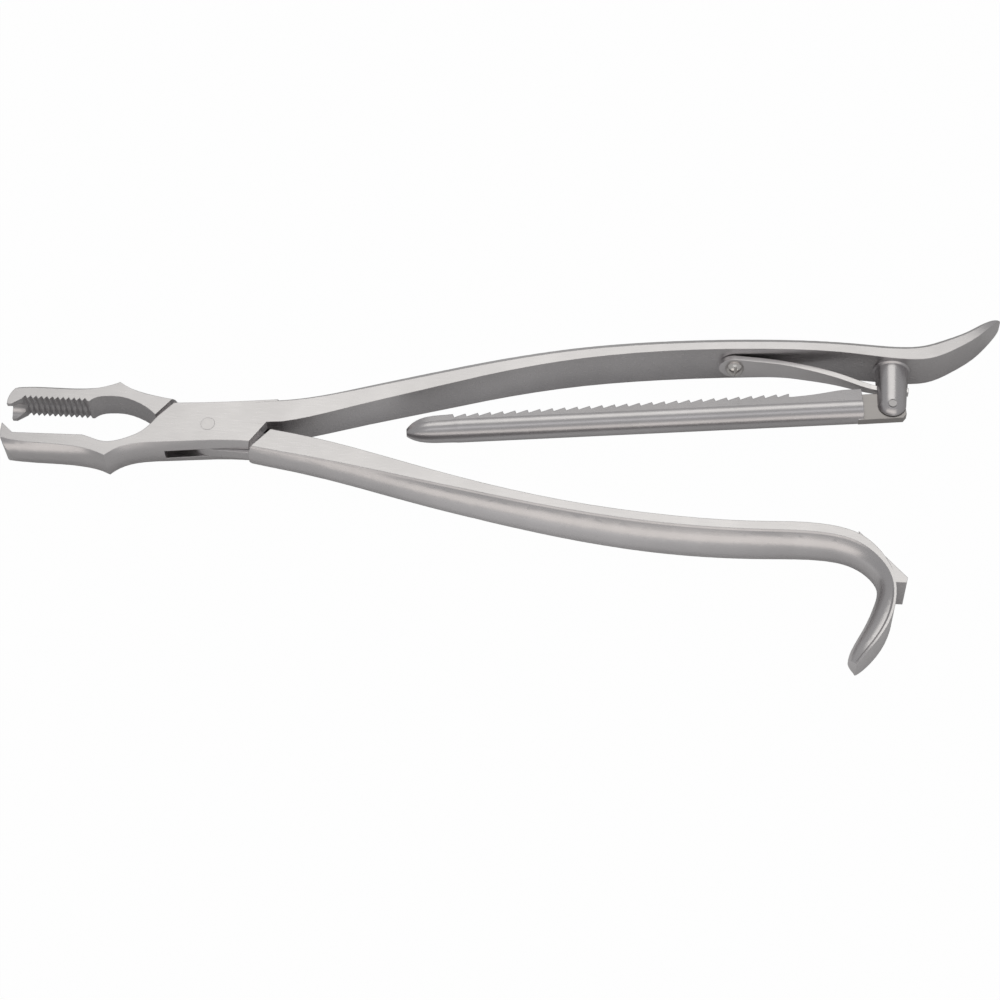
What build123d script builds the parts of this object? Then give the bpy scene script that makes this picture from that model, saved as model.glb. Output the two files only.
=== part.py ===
import os
from math import cos, hypot, radians, sin

from build123d import *

# Bone holding forceps: box-lock pliers with a fold-out ratchet bar under the upper handle.
# X runs from the joint to the handles, Y is the opening direction, Z is the joint pin.
# The origin is on the pin axis, on the back face of the box lock.

# Box lock
box_t = 8.0
mid = box_t / 2
slot_t = 2.8
neck_t = 2.6
neck_r = 4.8
neck_clear = 0.3
joint_pin_r = 1.5
running_clear = 0.05
male_jaw_shoulder = 10.76
male_jaw_angle = 143.4
male_shank_shoulder = 10.85
male_shank_angle = -39.5

# Jaws
jaw_half_w = 3.5
nose_x = -45.0
tooth_pitch = 1.21
tooth_depth = 0.7
tooth_count = 12
tooth_start = -41.3
tooth_land = 0.06
tooth_half = (tooth_pitch - tooth_land) / 2
jaw_line_upper = 4.65
jaw_line_lower = -4.6

# Ratchet hinge and bar
hinge_x = 147.4
hinge_y = 14.4
bar_angle = 7.0
bar_w = 5.6
bar_start = 6.3
bar_top_start = 4.45
bar_low = -2.45
back_angle = 0.5
bar_back_h = 3.8
bar_lean = 0.125
bar_round = 94.0
bar_top_end = 2.9
bar_end = 105.2
tip_v = -0.1
ratchet_pitch = 2.7
ratchet_depth = 0.85
ratchet_count = 27
ratchet_first = 22.0
tongue_t = 1.8
fork_slot = 2.2
hinge_pin_r = 0.9
post_x = hinge_x
post_r_top = 3.6
post_r = 3.25
post_dome = 2.7
post_end_y = 12.1
post_seat_y = 25.6
collar_r = 4.05
collar_h = 0.9

# Leaf spring and its screw
spring_t = 1.1
spring_seat_y = 24.6
spring_screw_x = 113.2
spring_boss_r = 3.4
spring_tip_w = 1.7
screw_head_r = 2.1
screw_head_h = 1.7
screw_slot = 0.55
screw_shank_r = 1.2
screw_depth = 2.6

# Catch at the end of the lower handle
catch_w = 9.4


def section(point, tangent, side, face, crown, width):
    # One D-shaped section: flat inner side, straight faces, crowned outer side.
    bevel = 0.35
    half = width / 2
    normal = Vector(-tangent.Y * side, tangent.X * side, 0)
    plane = Plane(origin=(point[0], point[1], mid), x_dir=normal, z_dir=normal.cross(Vector(0, 0, 1)))
    low = face - bevel
    with BuildSketch(plane) as sk:
        with BuildLine():
            Polyline((low, -half), (0, -half), (0, half), (low, half), (face, half - bevel))
            ThreePointArc((face, half - bevel), (face + crown, 0), (face, bevel - half))
            Line((face, bevel - half), (low, -half))
        make_face()
    return sk.sketch


def shank(stations, side):
    # Sections set square to a smooth line through the inner edge of the handle.
    line = Spline(*[(s[0], s[1]) for s in stations])
    faces = []
    for x, y, face, crown, width in stations:
        tangent = line.tangent_at(line.param_at_point(Vector(x, y)))
        faces.append(section((x, y), tangent, side, face, crown, width))
    return faces


def cross_section(x, top, top_crown, low, low_crown, half):
    # A section square to X with straight side faces and crowned top and bottom.
    plane = Plane(origin=(x, 0, mid), x_dir=(0, 1, 0), z_dir=(1, 0, 0))
    with BuildSketch(plane) as sk:
        with BuildLine():
            Line((low, -half), (top, -half))
            ThreePointArc((top, -half), (top + top_crown, 0), (top, half))
            Line((top, half), (low, half))
            ThreePointArc((low, half), (low - low_crown, 0), (low, -half))
        make_face()
    return sk.sketch


def polar(radius, degrees):
    return (radius * cos(radians(degrees)), radius * sin(radians(degrees)))


# Inner edge, face height, crown and width at points along each handle
upper_stations = [
    (9.0, 0.6, 5.6, 1.2, 8.0),
    (18.5, 2.05, 5.5, 1.35, 8.1),
    (26.0, 4.35, 4.75, 1.55, 8.3),
    (34.0, 7.1, 4.2, 1.85, 8.7),
    (45.0, 10.65, 3.75, 2.2, 9.4),
    (60.0, 15.5, 3.15, 2.4, 10.2),
    (80.0, 20.6, 2.6, 2.6, 11.0),
    (98.0, 23.4, 2.3, 2.7, 11.4),
    (120.0, 25.3, 2.25, 2.6, 11.1),
    (138.0, 25.5, 2.45, 2.4, 10.4),
    (149.0, 24.8, 3.0, 2.2, 9.8),
    (155.5, 25.4, 3.4, 2.0, 9.6),
    (161.0, 28.3, 3.0, 1.8, 9.2),
    (166.0, 32.2, 2.2, 1.5, 8.6),
    (168.7, 35.2, 1.6, 1.2, 7.6),
    (170.3, 37.1, 1.0, 0.8, 5.8),
    (171.0, 38.0, 0.5, 0.4, 3.4),
]
lower_stations = [
    (10.0, 0.2, 5.3, 0.9, 7.2),
    (22.0, -1.8, 5.25, 1.2, 7.6),
    (34.0, -4.75, 4.55, 1.7, 8.4),
    (47.5, -8.6, 3.5, 2.3, 9.4),
    (61.0, -12.1, 2.7, 2.6, 10.2),
    (80.0, -15.85, 2.3, 2.8, 11.0),
    (100.0, -18.0, 2.3, 2.9, 11.4),
    (120.0, -18.25, 2.3, 2.8, 11.1),
    (134.0, -18.05, 2.4, 2.7, 10.3),
    (140.5, -19.8, 2.2, 2.6, 9.9),
    (145.0, -23.8, 1.6, 2.3, 9.6),
    (147.6, -29.0, 1.0, 2.4, 9.4),
    (147.9, -35.0, 0.9, 3.4, 9.4),
    (146.0, -41.2, 0.9, 3.7, 9.1),
    (143.2, -45.6, 0.8, 3.3, 8.3),
    (141.2, -48.0, 0.7, 2.5, 6.8),
    (140.2, -49.1, 0.6, 1.7, 5.0),
]

# Female half: upper handle, box plates and lower jaw
with BuildPart() as female_half:
    for face in shank(upper_stations, 1):
        add(face)
    loft()
    with BuildPart(mode=Mode.PRIVATE) as box_block:
        for x, top, low, crown in [
            (-21.3, 4.0, -9.3, 0.6),
            (-18.0, 4.4, -6.85, 1.15),
            (-11.5, 4.8, -5.35, 1.1),
            (-2.0, 5.4, -4.4, 0.8),
            (6.0, 6.15, -3.85, 0.7),
            (14.5, 7.15, -3.9, 0.7),
        ]:
            add(cross_section(x, top, 0.9, low, crown, mid))
        loft()
    with BuildPart(mode=Mode.PRIVATE) as low_jaw:
        for x, low, crown in [(-46.0, -5.6, 2.7), (-38.0, -6.9, 1.9), (-27.5, -7.45, 1.6), (-21.3, -9.3, 0.6)]:
            add(cross_section(x, 0.0, 0.5, low, crown, mid))
        loft()
    add(box_block.part)
    add(low_jaw.part)
    # Clear everything above the jaw line, the oval and the left edge of the plates.
    with BuildSketch(Plane.XY.offset(-5)) as inner_gap:
        with BuildLine():
            a = Polyline((-50, -2.3), (-44.9, -2.3), (-42.3, jaw_line_lower), (-26.9, jaw_line_lower + 0.25))
            b = Spline(a @ 1, (-21.6, -5.75), (-16.2, -4.0), (-11.14, 1.4), tangents=[(1, -0.25), (0.6, 1)])
            Polyline(b @ 1, (-4.7, 9.0), (-4.7, 14), (-50, 14), (-50, -2.3))
        make_face()
    extrude(amount=18, mode=Mode.SUBTRACT)
    # Right edge of the plates.
    with BuildSketch(Plane.XY.offset(-5)) as plate_end:
        with BuildLine():
            Polyline((12.7, 1.2), (6.9, -8.3), (16, -8.3), (16, 1.5), (12.7, 1.2))
        make_face()
    extrude(amount=18, mode=Mode.SUBTRACT)
    # Mortise between the plates for the neck of the other half.
    with BuildSketch(Plane.XY.offset(mid - slot_t / 2)) as mortise:
        with BuildLine():
            Polyline(
                (-9.0, -12), (-9.0, -4.2), (-12.9, -0.6), (-16, 1), (-16, 12), (-6.4, 12),
                (2.47, 4.59), (12.81, 1.5), (16, 0.55), (16, -12), (-9.0, -12),
            )
        make_face()
    extrude(amount=slot_t, mode=Mode.SUBTRACT)
    # Rounded nose of the lower jaw.
    with BuildSketch(Plane.XY.offset(-5)) as nose:
        with BuildLine():
            Line((nose_x, 0), (nose_x, -4.6))
            ThreePointArc((nose_x, -4.6), (nose_x + 1.1, -7.4), (nose_x + 4.2, -9.0))
            Polyline((nose_x + 4.2, -9.0), (nose_x + 4.2, -12), (-50, -12), (-50, 0), (nose_x, 0))
        make_face()
    extrude(amount=18, mode=Mode.SUBTRACT)
    # Concave channel along the lower jaw, open at the nose, that leaves two sharp prongs.
    with BuildSketch(Plane(origin=(-50, 0, mid), x_dir=(0, 1, 0), z_dir=(1, 0, 0))):
        with Locations((jaw_line_lower + 2.1, 0)):
            Circle(3.1)
    extrude(amount=50 - 27.6, mode=Mode.SUBTRACT)
    with BuildSketch(Plane.XY.offset(mid - 2.0)):
        for i in range(tooth_count):
            with Locations((tooth_start + i * tooth_pitch, jaw_line_lower - 1.0)):
                Polygon((-tooth_half, 0.4), (0, -tooth_depth), (tooth_half, 0.4), align=None)
    extrude(amount=4.0, mode=Mode.SUBTRACT)
    # Pin hole, spring seat, screw hole and post seat.
    with Locations((0, 0, mid)):
        Cylinder(joint_pin_r, box_t + 4, mode=Mode.SUBTRACT)
    with Locations((spring_screw_x, spring_seat_y - 2, mid)):
        Cylinder(spring_boss_r + 0.4, 4, rotation=(90, 0, 0), mode=Mode.SUBTRACT)
        Box(6, 4, 2 * spring_boss_r + 0.8, align=(Align.MIN, Align.CENTER, Align.CENTER), mode=Mode.SUBTRACT)
    with Locations((spring_screw_x, spring_seat_y, mid)):
        Cylinder(screw_shank_r, 2 * screw_depth, rotation=(90, 0, 0), mode=Mode.SUBTRACT)
    with Locations((post_x, post_seat_y - 4, mid)):
        Cylinder(collar_r, 8, rotation=(90, 0, 0), mode=Mode.SUBTRACT)

# Male half: upper jaw, neck, lower handle, hook and catch
with BuildPart() as male_half:
    for face in shank(lower_stations, -1):
        add(face)
    loft()
    # Catch ledge on the outer side of the bend.
    with BuildSketch(Plane.XY.offset(mid - catch_w / 2)):
        with BuildLine():
            Polyline(
                (140.2, -19.0), (150.3, -29.5), (150.1, -30.7), (147.4, -30.7),
                (147.0, -28.8), (144.5, -24.1), (140.6, -20.4), (140.2, -19.0),
            )
        make_face()
    extrude(amount=catch_w)
    # Shoulder that faces the box lock.
    shoulder = polar(male_shank_shoulder, male_shank_angle)
    with Locations(Location((shoulder[0], shoulder[1], mid), (0, 0, male_shank_angle))):
        Box(20, 40, 20, align=(Align.MAX, Align.CENTER, Align.CENTER), mode=Mode.SUBTRACT)
    with BuildPart(mode=Mode.PRIVATE) as jaw_front:
        for x, top, crown in [(-46.0, 6.6, 1.6), (-36.0, 7.5, 1.6), (-28.0, 7.75, 1.5), (-20.9, 10.0, 0.5)]:
            add(cross_section(x, top, crown, 0.0, 0.5, jaw_half_w))
        loft()
    with BuildPart(mode=Mode.PRIVATE) as jaw_root:
        for x, top, crown in [(-20.9, 10.0, 0.5), (-17.3, 8.05, 1.1), (-12.5, 6.8, 1.2), (-7.0, 5.9, 1.0)]:
            add(cross_section(x, top, crown, 0.0, 0.5, jaw_half_w))
        loft()
    # Clear everything below the jaw line, the oval and the shoulder of the upper jaw.
    corner = polar(male_jaw_shoulder, male_jaw_angle)
    along = polar(1.0, male_jaw_angle + 90)
    foot = (corner[0] + 5.5 * along[0], corner[1] + 5.5 * along[1])
    head = (corner[0] - 6.0 * along[0], corner[1] - 6.0 * along[1])
    with BuildPart(mode=Mode.PRIVATE) as jaw_gap:
        with BuildSketch(Plane.XY.offset(-5)):
            with BuildLine():
                c = Polyline((-50, 3.0), (-44.0, 3.0), (-41.7, jaw_line_upper), (-26.9, jaw_line_upper))
                d = Spline(c @ 1, (-25.4, 5.75), (-22.9, 6.2), (-20.2, 6.15), (-17.5, 5.45), (-15.0, 4.3), foot)
                Polyline(d @ 1, head, (6, 12), (6, -6), (-50, -6), (-50, 3.0))
            make_face()
        extrude(amount=18)
    with BuildPart(mode=Mode.PRIVATE) as upper_jaw:
        add(jaw_front.part)
        add(jaw_root.part)
        add(jaw_gap.part, mode=Mode.SUBTRACT)
        with BuildSketch(Plane.XY.offset(-5)):
            with BuildLine():
                Line((nose_x, 0), (nose_x, 4.2))
                ThreePointArc((nose_x, 4.2), (nose_x + 1.2, 7.1), (nose_x + 4.4, 9.1))
                Polyline((nose_x + 4.4, 9.1), (nose_x + 4.4, 12), (-50, 12), (-50, 0), (nose_x, 0))
            make_face()
        extrude(amount=18, mode=Mode.SUBTRACT)
        # Cross serrations, groove along the middle and the notch between the two prongs.
        with BuildSketch(Plane.XY.offset(-1)):
            for i in range(tooth_count):
                with Locations((tooth_start + i * tooth_pitch, jaw_line_upper)):
                    Polygon((-tooth_half, -0.05), (0, tooth_depth), (tooth_half, -0.05), align=None)
        extrude(amount=10, mode=Mode.SUBTRACT)
        with BuildSketch(Plane(origin=(-42.0, 0, mid), x_dir=(0, 1, 0), z_dir=(1, 0, 0))):
            with Locations((jaw_line_upper - 3.3, 0)):
                Circle(3.7)
        extrude(amount=14.6, mode=Mode.SUBTRACT)
        with BuildSketch(Plane(origin=(-50, 2.6, mid), x_dir=(0, 1, 0), z_dir=(1, 0, 0))):
            Circle(2.5)
        extrude(amount=8.6, mode=Mode.SUBTRACT)
    add(upper_jaw.part)
    # Neck through the mortise.
    with BuildSketch(Plane.XY.offset(mid - neck_t / 2)):
        Circle(neck_r)
        with BuildLine():
            Polyline(
                (-12.6, 6.0), (-8.7, 5.66), polar(neck_r, 84.5), polar(neck_r, 66.4), (13.5, -0.65),
                (15.5, -1.2), (13.5, -5.3), (9.6, -5.3), polar(neck_r, -93.2), polar(neck_r, 238.3), foot,
                (-13.4, 3.5), (-12.6, 6.0),
            )
        make_face()
    extrude(amount=neck_t)
    with Locations((0, 0, mid)):
        Cylinder(joint_pin_r + running_clear, box_t, mode=Mode.SUBTRACT)

# Joint pin, ground flush with both plates
with BuildPart() as joint_pin:
    with Locations((0, 0, mid)):
        Cylinder(joint_pin_r, box_t)

# Forked post that carries the ratchet bar, with a spherical end
dome_r = (post_dome**2 + post_r**2) / (2 * post_dome)
with BuildPart() as ratchet_post:
    with BuildSketch(Plane.XY.offset(mid)):
        with BuildLine():
            Polyline(
                (post_x, post_seat_y), (post_x + collar_r, post_seat_y),
                (post_x + collar_r, post_seat_y - collar_h), (post_x + post_r_top, post_seat_y - collar_h - 0.3),
                (post_x + post_r, post_end_y + post_dome),
            )
            ThreePointArc(
                (post_x + post_r, post_end_y + post_dome),
                (post_x + dome_r * sin(radians(45)), post_end_y + dome_r * (1 - cos(radians(45)))),
                (post_x, post_end_y),
            )
            Line((post_x, post_end_y), (post_x, post_seat_y))
        make_face()
    revolve(axis=Axis((post_x, 0, mid), (0, 1, 0)))
    fork_top = post_seat_y - 5.0
    with Locations((post_x, (fork_top + post_end_y - 2) / 2, mid)):
        Box(12, fork_top - post_end_y + 2, fork_slot, mode=Mode.SUBTRACT)
    with Locations((hinge_x, hinge_y, mid)):
        Cylinder(hinge_pin_r, 12, mode=Mode.SUBTRACT)

# Hinge pin of the ratchet bar
hinge_pin_length = 2 * (post_r - 0.15)
with BuildPart() as ratchet_hinge_pin:
    with Locations((hinge_x, hinge_y, mid)):
        Cylinder(hinge_pin_r, hinge_pin_length)

# Ratchet bar, drawn along its own axis from the hinge and then laid in place
bar_frame = Plane(
    origin=(hinge_x, hinge_y, mid),
    x_dir=(-cos(radians(bar_angle)), -sin(radians(bar_angle)), 0),
    z_dir=(0, 0, -1),
)


# The round back runs straight, at a small angle to the line of the teeth.
back_frame = Plane(
    origin=(hinge_x, hinge_y, mid),
    x_dir=(-cos(radians(bar_angle - back_angle)), -sin(radians(bar_angle - back_angle)), 0),
    z_dir=(0, 0, -1),
)


def bar_section(u, top, low, size):
    # Round back up to the shoulders, sides that lean in and a flat toothed side.
    half = size * bar_w / 2
    shoulder = low + size * bar_back_h
    lean = bar_lean * (top - shoulder)
    centre = back_frame.origin + back_frame.x_dir * u
    plane = Plane(origin=centre, x_dir=back_frame.y_dir, z_dir=back_frame.x_dir)
    with BuildSketch(plane) as sk:
        with BuildLine():
            Polyline((shoulder, -half), (top, lean - half), (top, half - lean), (shoulder, half))
            ThreePointArc((shoulder, half), (low, 0), (shoulder, -half))
        make_face()
    return sk.sketch


with BuildPart() as ratchet_bar:
    extrude(bar_section(bar_start, bar_top_start, bar_low, 1), amount=bar_round - bar_start)
    # The toothed side falls towards the free end.
    with BuildSketch(back_frame.offset(-6)):
        Polygon(
            (bar_start, bar_top_start), (bar_round, bar_top_end), (bar_round + 1, bar_top_end), (bar_round + 1, 8),
            (bar_start, 8), align=None,
        )
    extrude(amount=12, mode=Mode.SUBTRACT)
    # Bullet-shaped free end.
    for share, size in [(0, 1), (0.45, 0.93), (0.82, 0.68), (1, 0.26)]:
        u = bar_round + share * (bar_end - bar_round)
        add(bar_section(u, tip_v + (bar_top_end - tip_v) * size, tip_v + (bar_low - tip_v) * size, size))
    loft()
    # Tongue in the fork of the post.
    with BuildSketch(bar_frame.offset(-tongue_t / 2)):
        with BuildLine():
            Polyline((7.5, -2.5), (7.5, 4.0), (-1.6, 4.0), (-3.0, 2.9), (-3.0, -1.6), (-2.2, -2.5), (7.5, -2.5))
        make_face()
    extrude(amount=tongue_t)
    # Long relief between the hinge and the teeth, and the teeth.
    with BuildSketch(bar_frame.offset(-6)):
        with BuildLine():
            Spline((10.0, 4.5), (15.5, 3.75), (21.0, 3.3), tangents=[(1, -0.08), (1, -0.05)])
            Polyline((21.0, 3.3), (ratchet_first, 3.3), (ratchet_first, 6), (10.0, 6), (10.0, 4.5))
        make_face()
    extrude(amount=12, mode=Mode.SUBTRACT)
    tip_slope = (4.25 - 3.55) / (ratchet_pitch * (ratchet_count - 1))
    with BuildSketch(bar_frame.offset(-6)):
        for i in range(ratchet_count):
            start = i * ratchet_pitch
            tip = 4.25 - tip_slope * start
            with Locations((ratchet_first + start, tip)):
                Polygon(
                    (0, 0), (ratchet_pitch - 0.25, -ratchet_depth), (ratchet_pitch, -tip_slope * ratchet_pitch),
                    (ratchet_pitch, 1.2), (0, 1.2), align=None,
                )
    extrude(amount=12, mode=Mode.SUBTRACT)
    with Locations((hinge_x, hinge_y, mid)):
        Cylinder(hinge_pin_r + running_clear, 6, mode=Mode.SUBTRACT)

# Leaf spring
spring_top = [(118.0, spring_seat_y), (128.0, 23.95), (136.5, 22.35), (143.2, 20.35), (151.0, 19.9)]
spring_low = [(142.9, 19.2), (136.0, 21.15), (127.6, 22.85), (118.0, spring_seat_y - spring_t)]
spring_start = spring_screw_x - spring_boss_r
with BuildPart() as leaf_spring:
    with BuildSketch(Plane.XY.offset(mid - spring_boss_r)):
        with BuildLine():
            upper = Line((spring_start, spring_seat_y), spring_top[0])
            bend = Spline(*spring_top, tangents=[(1, 0), (1, 0.02)])
            end = Line(bend @ 1, (spring_top[-1][0], spring_top[-1][1] - spring_t))
            under = Spline(end @ 1, *spring_low, tangents=[(-1, -0.02), (-1, 0)])
            Polyline(under @ 1, (spring_start, spring_seat_y - spring_t), (spring_start, spring_seat_y))
        make_face()
    extrude(amount=2 * spring_boss_r)
    with BuildSketch(Plane(origin=(0, 30, mid), x_dir=(1, 0, 0), z_dir=(0, -1, 0))) as plan:
        with Locations((spring_screw_x, 0)):
            Circle(spring_boss_r)
        with BuildLine():
            Polyline(
                (spring_screw_x, spring_boss_r), (129.0, 2.1), (143.0, spring_tip_w / 2), (152, spring_tip_w / 2),
                (152, -spring_tip_w / 2), (143.0, -spring_tip_w / 2), (129.0, -2.1),
                (spring_screw_x, -spring_boss_r), (spring_screw_x, spring_boss_r),
            )
        make_face()
    extrude(amount=20, mode=Mode.INTERSECT)
    with Locations((spring_screw_x, spring_seat_y, mid)):
        Cylinder(screw_shank_r, 6, rotation=(90, 0, 0), mode=Mode.SUBTRACT)

# Slotted screw that holds the spring
screw_face = spring_seat_y - spring_t
head_dome_r = (screw_head_h**2 + screw_head_r**2) / (2 * screw_head_h)
with BuildPart() as spring_screw:
    with BuildSketch(Plane.XY.offset(mid)):
        with BuildLine():
            Polyline(
                (spring_screw_x, screw_face - screw_head_h), (spring_screw_x, spring_seat_y + screw_depth),
                (spring_screw_x + screw_shank_r, spring_seat_y + screw_depth),
                (spring_screw_x + screw_shank_r, screw_face), (spring_screw_x + screw_head_r, screw_face),
            )
            ThreePointArc(
                (spring_screw_x + screw_head_r, screw_face),
                (
                    spring_screw_x + head_dome_r * sin(radians(40)),
                    screw_face - screw_head_h + head_dome_r * (1 - cos(radians(40))),
                ),
                (spring_screw_x, screw_face - screw_head_h),
            )
        make_face()
    revolve(axis=Axis((spring_screw_x, 0, mid), (0, 1, 0)))
    with Locations(Location((spring_screw_x, screw_face - screw_head_h, mid), (0, 8, 0))):
        Box(screw_slot, 1.8, 6, mode=Mode.SUBTRACT)

os.makedirs("parts", exist_ok=True)
female_half.part.label = "female_half"
export_step(female_half.part, "parts/female_half.step")
male_half.part.label = "male_half"
export_step(male_half.part, "parts/male_half.step")
joint_pin.part.label = "joint_pin"
export_step(joint_pin.part, "parts/joint_pin.step")
ratchet_post.part.label = "ratchet_post"
export_step(ratchet_post.part, "parts/ratchet_post.step")
ratchet_bar.part.label = "ratchet_bar"
export_step(ratchet_bar.part, "parts/ratchet_bar.step")
ratchet_hinge_pin.part.label = "ratchet_hinge_pin"
export_step(ratchet_hinge_pin.part, "parts/ratchet_hinge_pin.step")
leaf_spring.part.label = "leaf_spring"
export_step(leaf_spring.part, "parts/leaf_spring.step")
spring_screw.part.label = "spring_screw"
export_step(spring_screw.part, "parts/spring_screw.step")
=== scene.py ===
"""Bone holding forceps: steel finishes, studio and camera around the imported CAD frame."""

import math

import bpy
from mathutils import Matrix, Vector


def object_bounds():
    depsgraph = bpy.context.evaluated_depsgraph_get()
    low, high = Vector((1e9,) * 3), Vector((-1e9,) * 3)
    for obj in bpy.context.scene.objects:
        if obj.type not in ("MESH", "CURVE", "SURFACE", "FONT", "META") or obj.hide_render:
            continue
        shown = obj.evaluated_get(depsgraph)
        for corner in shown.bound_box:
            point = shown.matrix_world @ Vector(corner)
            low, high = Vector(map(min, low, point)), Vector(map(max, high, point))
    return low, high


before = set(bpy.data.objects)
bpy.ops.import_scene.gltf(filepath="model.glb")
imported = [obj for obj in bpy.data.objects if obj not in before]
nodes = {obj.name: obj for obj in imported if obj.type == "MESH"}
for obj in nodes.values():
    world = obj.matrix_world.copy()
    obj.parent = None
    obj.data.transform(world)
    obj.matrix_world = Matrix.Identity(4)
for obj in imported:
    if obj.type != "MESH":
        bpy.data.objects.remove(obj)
cad_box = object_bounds()

MM = 0.001
WHITE = (1.0, 1.0, 1.0)

# Camera, fitted to the photograph's vanishing directions
CAMERA_AZIMUTH = 8.16
CAMERA_ELEVATION = 58.95
CAMERA_ROLL = -4.09
CAMERA_DISTANCE = 0.527
CAMERA_LENS = 88.92
CAMERA_SENSOR = 36.0
CAMERA_CLIP = 0.01
CAMERA_TARGET = Vector((64.5, -13.1, 4.0)) * MM

# Steel: grain along the instrument, or the same in all directions on turned pieces
LONG_GRAIN = (40.0, 1100.0, 1100.0)
ROUND_GRAIN = (300.0, 300.0, 300.0)
GRAIN_SCALE = 6.0
GRAIN_DETAIL = 4.0
GRAIN_HEIGHT = 0.02 * MM
GRAIN_STRENGTH = 0.12
ROUGHNESS_BELOW = 0.05
ROUGHNESS_ABOVE = 0.07
DRIFT_SCALE = 90.0
DRIFT_DETAIL = 3.0
DRIFT_DARK = 0.93
DRIFT_START = 0.35
DRIFT_END = 0.65
EDGE = 0.18 * MM
PIN_EDGE = 0.05 * MM
EDGE_SAMPLES = 6

# The tongue of the ratchet bar begins here
TONGUE_START = 141.3 * MM

# Floor and world: the mirror shares say how much of their white the steel reflects
FLOOR_SIZE = 6.0
FLOOR_X = 0.06
FLOOR_GAP = 0.02 * MM
FLOOR_PAINT = (0.80, 0.80, 0.80, 1.0)
FLOOR_SHARE = 0.985
MIRROR_SHARE = 0.28
MIRROR_SHARE_END = 0.10
GLOW_REACH = 0.1
FRONT_START = 0.0
FRONT_END = -0.06
FRONT_GAIN = 2.4
CONTACT_REACH = 6.0 * MM
CONTACT_SAMPLES = 4
WORLD_FILL = 0.25

# Lamps: name, place, size, power and tint
LAMP_AIM = (0.062, -0.008, 0.0)
LAMPS = (
    ("key", (0.06, 0.48, 0.90), (0.80, 0.55), 1.30, (1.0, 0.995, 0.94)),
    ("camera side", (0.1, -0.35, 0.95), (0.7, 0.30), 0.35, WHITE),
    ("low front", (0.06, -0.88, 0.29), (1.3, 0.58), 1.55, (1.0, 0.94, 0.87)),
)


def add_node(tree, kind, place, **values):
    """A shader node at that place on the sheet, with its properties set."""
    node = tree.nodes.new(kind)
    node.location = place
    for name, value in values.items():
        setattr(node, name, value)
    return node


def add_noise(tree, place, coordinates, scale, detail):
    """The value of a noise texture over these coordinates."""
    noise = add_node(tree, "ShaderNodeTexNoise", place)
    noise.inputs["Scale"].default_value = scale
    noise.inputs["Detail"].default_value = detail
    tree.links.new(coordinates, noise.inputs["Vector"])
    return noise.outputs["Fac"]


def add_math(tree, place, operation, *sources):
    """The value of a math node fed by sockets or numbers."""
    node = add_node(tree, "ShaderNodeMath", place, operation=operation)
    for socket, source in zip(node.inputs, sources):
        if isinstance(source, bpy.types.NodeSocket):
            tree.links.new(source, socket)
        else:
            socket.default_value = source
    return node.outputs["Value"]


def add_range(tree, place, source, start, end):
    """The value of source carried from the span start to the span end, and clamped."""
    node = add_node(tree, "ShaderNodeMapRange", place)
    node.inputs["From Min"].default_value, node.inputs["From Max"].default_value = start
    node.inputs["To Min"].default_value, node.inputs["To Max"].default_value = end
    tree.links.new(source, node.inputs["Value"])
    return node.outputs["Result"]


def steel(name, colour, roughness, grain=LONG_GRAIN, edge=EDGE):
    """Satin steel: grain in roughness and bump, faint colour drift and softened edges."""
    material = bpy.data.materials.new(name)
    material.use_nodes = True
    tree = material.node_tree
    link = tree.links.new
    shader = tree.nodes["Principled BSDF"]
    shader.inputs["Metallic"].default_value = 1.0

    coordinates = add_node(tree, "ShaderNodeTexCoord", (-1200, 0))
    stretch = add_node(tree, "ShaderNodeMapping", (-1000, 0))
    stretch.inputs["Scale"].default_value = grain
    link(coordinates.outputs["Object"], stretch.inputs["Vector"])

    fine = add_noise(tree, (-800, 120), stretch.outputs["Vector"], GRAIN_SCALE, GRAIN_DETAIL)
    span = (roughness - ROUGHNESS_BELOW, roughness + ROUGHNESS_ABOVE)
    link(add_range(tree, (-560, 120), fine, (0.0, 1.0), span), shader.inputs["Roughness"])

    broad = add_noise(
        tree, (-800, -180), coordinates.outputs["Object"], DRIFT_SCALE, DRIFT_DETAIL
    )
    tone = add_node(tree, "ShaderNodeValToRGB", (-560, -180))
    dark_end, light_end = tone.color_ramp.elements
    dark_end.position = DRIFT_START
    dark_end.color = (*(channel * DRIFT_DARK for channel in colour), 1.0)
    light_end.position = DRIFT_END
    light_end.color = (*colour, 1.0)
    link(broad, tone.inputs["Fac"])
    link(tone.outputs["Color"], shader.inputs["Base Color"])

    rounded = add_node(tree, "ShaderNodeBevel", (-560, -460), samples=EDGE_SAMPLES)
    rounded.inputs["Radius"].default_value = edge
    relief = add_node(tree, "ShaderNodeBump", (-280, -300))
    relief.inputs["Strength"].default_value = GRAIN_STRENGTH
    relief.inputs["Distance"].default_value = GRAIN_HEIGHT
    link(fine, relief.inputs["Height"])
    link(rounded.outputs["Normal"], relief.inputs["Normal"])
    link(relief.outputs["Normal"], shader.inputs["Normal"])
    return material


def dress(node_name, material):
    """A CAD node keeps its mesh and gets this material in every slot."""
    mesh = nodes[node_name].data
    if not mesh.materials:
        mesh.materials.append(material)
    for index in range(len(mesh.materials)):
        mesh.materials[index] = material


def dress_beyond(node_name, start_x, material):
    """The faces of a CAD node that lie past start_x get this material."""
    mesh = nodes[node_name].data
    mesh.materials.append(material)
    slot = len(mesh.materials) - 1
    for face in mesh.polygons:
        if face.center.x > start_x:
            face.material_index = slot


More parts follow.
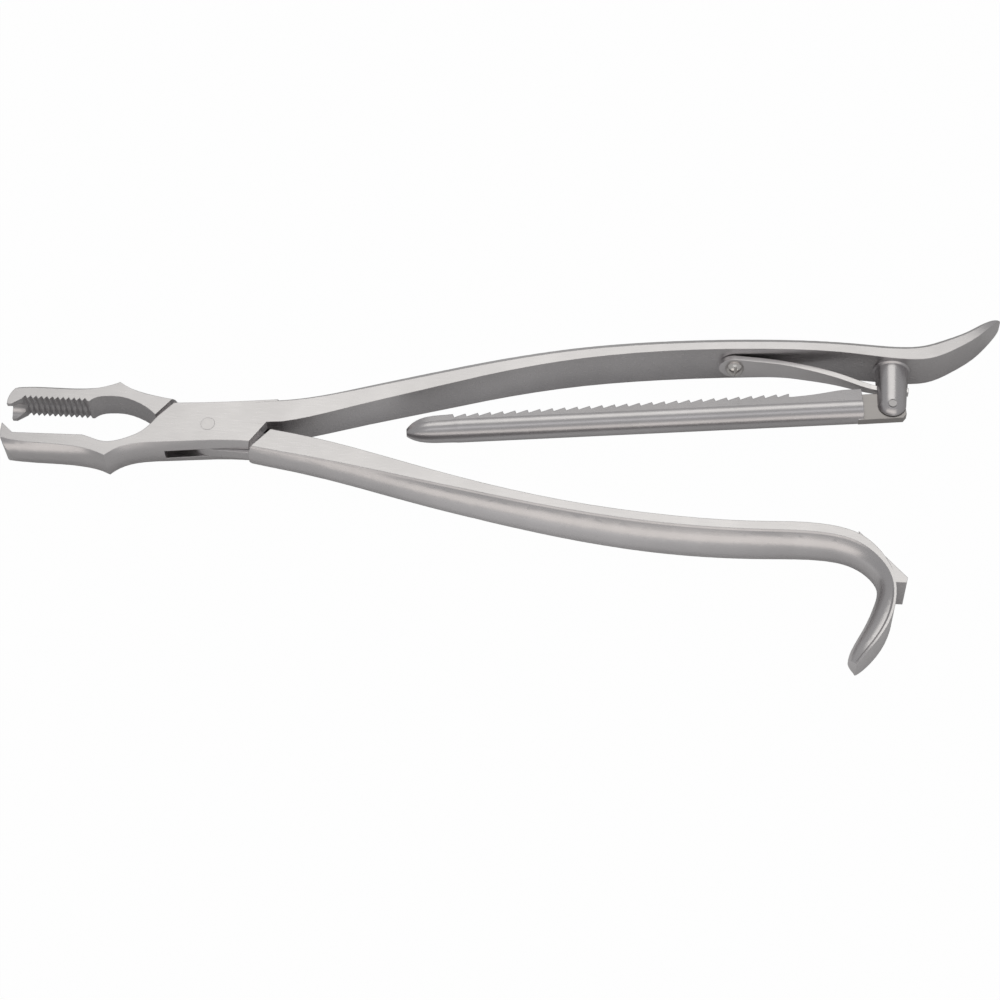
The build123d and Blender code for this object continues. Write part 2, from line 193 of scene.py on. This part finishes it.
def finish_pieces():
    """Every CAD node gets its steel, and the bar's tongue a duller, rougher one, darker as
    painted shade.
    """
    satin = steel("satin steel", (0.60, 0.583, 0.590), 0.28)
    ratchet_satin = steel("ratchet steel", (0.56, 0.543, 0.553), 0.28)
    pin_steel = steel("pin steel", (0.61, 0.592, 0.597), 0.30, ROUND_GRAIN, PIN_EDGE)
    # The spring's colour is lighter than the other steel's: painted light on the spring.
    spring_painted_light_steel = steel("spring steel", (0.76, 0.74, 0.745), 0.30)
    # The hinge pin's colour is darker than the post's as painted shade, dulling the highlight on
    # its flat end.
    hinge_pin_shaded_steel = steel("hinge pin steel", (0.43, 0.417, 0.423), 0.36, ROUND_GRAIN, PIN_EDGE)
    # The tongue's steel is rougher, and its colour is darker than the ratchet steel's as painted
    # shade.
    milled_and_shaded_steel = steel("milled steel with painted shade", (0.42, 0.40, 0.392), 0.42)
    bright_steel = steel("bright steel", (0.72, 0.70, 0.68), 0.22, ROUND_GRAIN)

    dress("female_half", satin)
    dress("male_half", satin)
    dress("joint_pin", pin_steel)
    dress("ratchet_post", ratchet_satin)
    dress("ratchet_bar", ratchet_satin)
    # The tongue's faces get the darker steel: painted shade on the tongue.
    dress_beyond("ratchet_bar", TONGUE_START, milled_and_shaded_steel)
    dress("ratchet_hinge_pin", hinge_pin_shaded_steel)
    dress("leaf_spring", spring_painted_light_steel)
    dress("spring_screw", bright_steel)


def floor_mirror_share(tree):
    """How much of the floor's white the steel reflects, from place to place: painted light and
    painted shade in the steel's reflections.
    """
    coordinates = add_node(tree, "ShaderNodeTexCoord", (-1400, 0))
    split = add_node(tree, "ShaderNodeSeparateXYZ", (-1200, 0))
    tree.links.new(coordinates.outputs["Object"], split.inputs["Vector"])

    # Most under the middle of the instrument, least beyond its ends, as painted light in the
    # reflections
    away = add_math(tree, (-1000, 0), "ABSOLUTE", split.outputs["X"])
    middle = add_range(
        tree, (-800, 0), away, (0.0, GLOW_REACH), (MIRROR_SHARE, MIRROR_SHARE_END)
    )
    # More in front of the lower handle than between the handles: a painted pool of light in the
    # reflections
    front = add_range(
        tree, (-1000, -300), split.outputs["Y"], (FRONT_START, FRONT_END), (1.0, FRONT_GAIN)
    )
    # Less close to the steel, which shades it: a painted contact shadow in the reflections
    painted_contact_shade = add_node(
        tree, "ShaderNodeAmbientOcclusion", (-1000, -600), samples=CONTACT_SAMPLES
    )
    painted_contact_shade.inputs["Distance"].default_value = CONTACT_REACH

    open_share = add_math(tree, (-800, -200), "MULTIPLY", middle, front)
    return add_math(tree, (-700, -400), "MULTIPLY", open_share, painted_contact_shade.outputs["AO"])


def build_floor():
    """A pale floor, white to the camera, partly so in the steel, which keeps the shadow."""
    height = cad_box[0][2] - FLOOR_GAP
    bpy.ops.mesh.primitive_plane_add(size=FLOOR_SIZE, location=(FLOOR_X, 0, height))
    floor = bpy.context.object
    floor.name = "floor"
    material = bpy.data.materials.new("floor")
    material.use_nodes = True
    tree = material.node_tree
    tree.nodes.clear()
    link = tree.links.new

    ray = add_node(tree, "ShaderNodeLightPath", (-600, 300)).outputs
    share = floor_mirror_share(tree)
    mirrored = add_math(tree, (-600, 100), "MULTIPLY", ray["Is Glossy Ray"], share)
    either = add_math(tree, (-400, 300), "MAXIMUM", ray["Is Camera Ray"], mirrored)
    seen = add_math(tree, (-200, 300), "MAXIMUM", either, ray["Is Transmission Ray"])
    white_share = add_math(tree, (0, 340), "MULTIPLY", seen, FLOOR_SHARE)

    paint = add_node(tree, "ShaderNodeBsdfDiffuse", (0, -120))
    paint.inputs["Color"].default_value = FLOOR_PAINT
    glow = add_node(tree, "ShaderNodeEmission", (0, 120))
    glow.inputs["Color"].default_value = (*WHITE, 1.0)
    glow.inputs["Strength"].default_value = 1.0
    mix = add_node(tree, "ShaderNodeMixShader", (300, 0))
    link(white_share, mix.inputs["Fac"])
    link(paint.outputs["BSDF"], mix.inputs[1])
    link(glow.outputs["Emission"], mix.inputs[2])
    surface = add_node(tree, "ShaderNodeOutputMaterial", (600, 0))
    link(mix.outputs["Shader"], surface.inputs["Surface"])
    floor.data.materials.append(material)


def build_world():
    """White to the camera, partly so in the steel, and a soft grey fill for the rest."""
    world = bpy.data.worlds.new("studio")
    bpy.context.scene.world = world
    world.use_nodes = True
    tree = world.node_tree
    back = tree.nodes["Background"]
    back.inputs["Color"].default_value = (*WHITE, 1.0)

    ray = add_node(tree, "ShaderNodeLightPath", (-800, 200)).outputs
    bright = add_math(
        tree, (-500, 200), "MAXIMUM", ray["Is Camera Ray"], ray["Is Transmission Ray"]
    )
    mirrored = add_math(tree, (-500, 0), "MULTIPLY", ray["Is Glossy Ray"], MIRROR_SHARE)
    seen = add_math(tree, (-300, 200), "MAXIMUM", bright, mirrored)
    level = add_range(tree, (-150, 200), seen, (0.0, 1.0), (WORLD_FILL, 1.0))
    tree.links.new(level, back.inputs["Strength"])


def softbox(name, place, size, power, tint):
    """A rectangular area lamp at place, turned to the instrument."""
    data = bpy.data.lights.new(name, "AREA")
    data.color = tint
    data.shape = "RECTANGLE"
    data.size, data.size_y = size
    data.energy = power
    lamp = bpy.data.objects.new(name, data)
    lamp.location = place
    direction = Vector(LAMP_AIM) - Vector(place)
    lamp.rotation_euler = direction.to_track_quat("-Z", "Y").to_euler()
    bpy.context.collection.objects.link(lamp)


def build_camera():
    """The photograph's view: azimuth, elevation and roll about the point at the image centre."""
    azimuth, elevation, roll = map(
        math.radians, (CAMERA_AZIMUTH, CAMERA_ELEVATION, CAMERA_ROLL)
    )
    back = Vector(
        (
            math.sin(azimuth) * math.cos(elevation),
            -math.cos(azimuth) * math.cos(elevation),
            math.sin(elevation),
        )
    )
    right = Vector((math.cos(azimuth), math.sin(azimuth), 0.0))
    up = back.cross(right)
    turned_right = right * math.cos(roll) + up * math.sin(roll)
    turned_up = up * math.cos(roll) - right * math.sin(roll)

    data = bpy.data.cameras.new("camera")
    data.lens = CAMERA_LENS
    data.sensor_width = CAMERA_SENSOR
    data.clip_start = CAMERA_CLIP
    camera = bpy.data.objects.new("camera", data)
    bpy.context.collection.objects.link(camera)
    axes = Matrix((turned_right, turned_up, back)).transposed().to_4x4()
    camera.matrix_world = Matrix.Translation(CAMERA_TARGET + back * CAMERA_DISTANCE) @ axes
    bpy.context.scene.camera = camera


finish_pieces()
build_floor()
build_world()
for lamp_values in LAMPS:
    softbox(*lamp_values)
build_camera()
bpy.context.scene.view_settings.view_transform = "Standard"
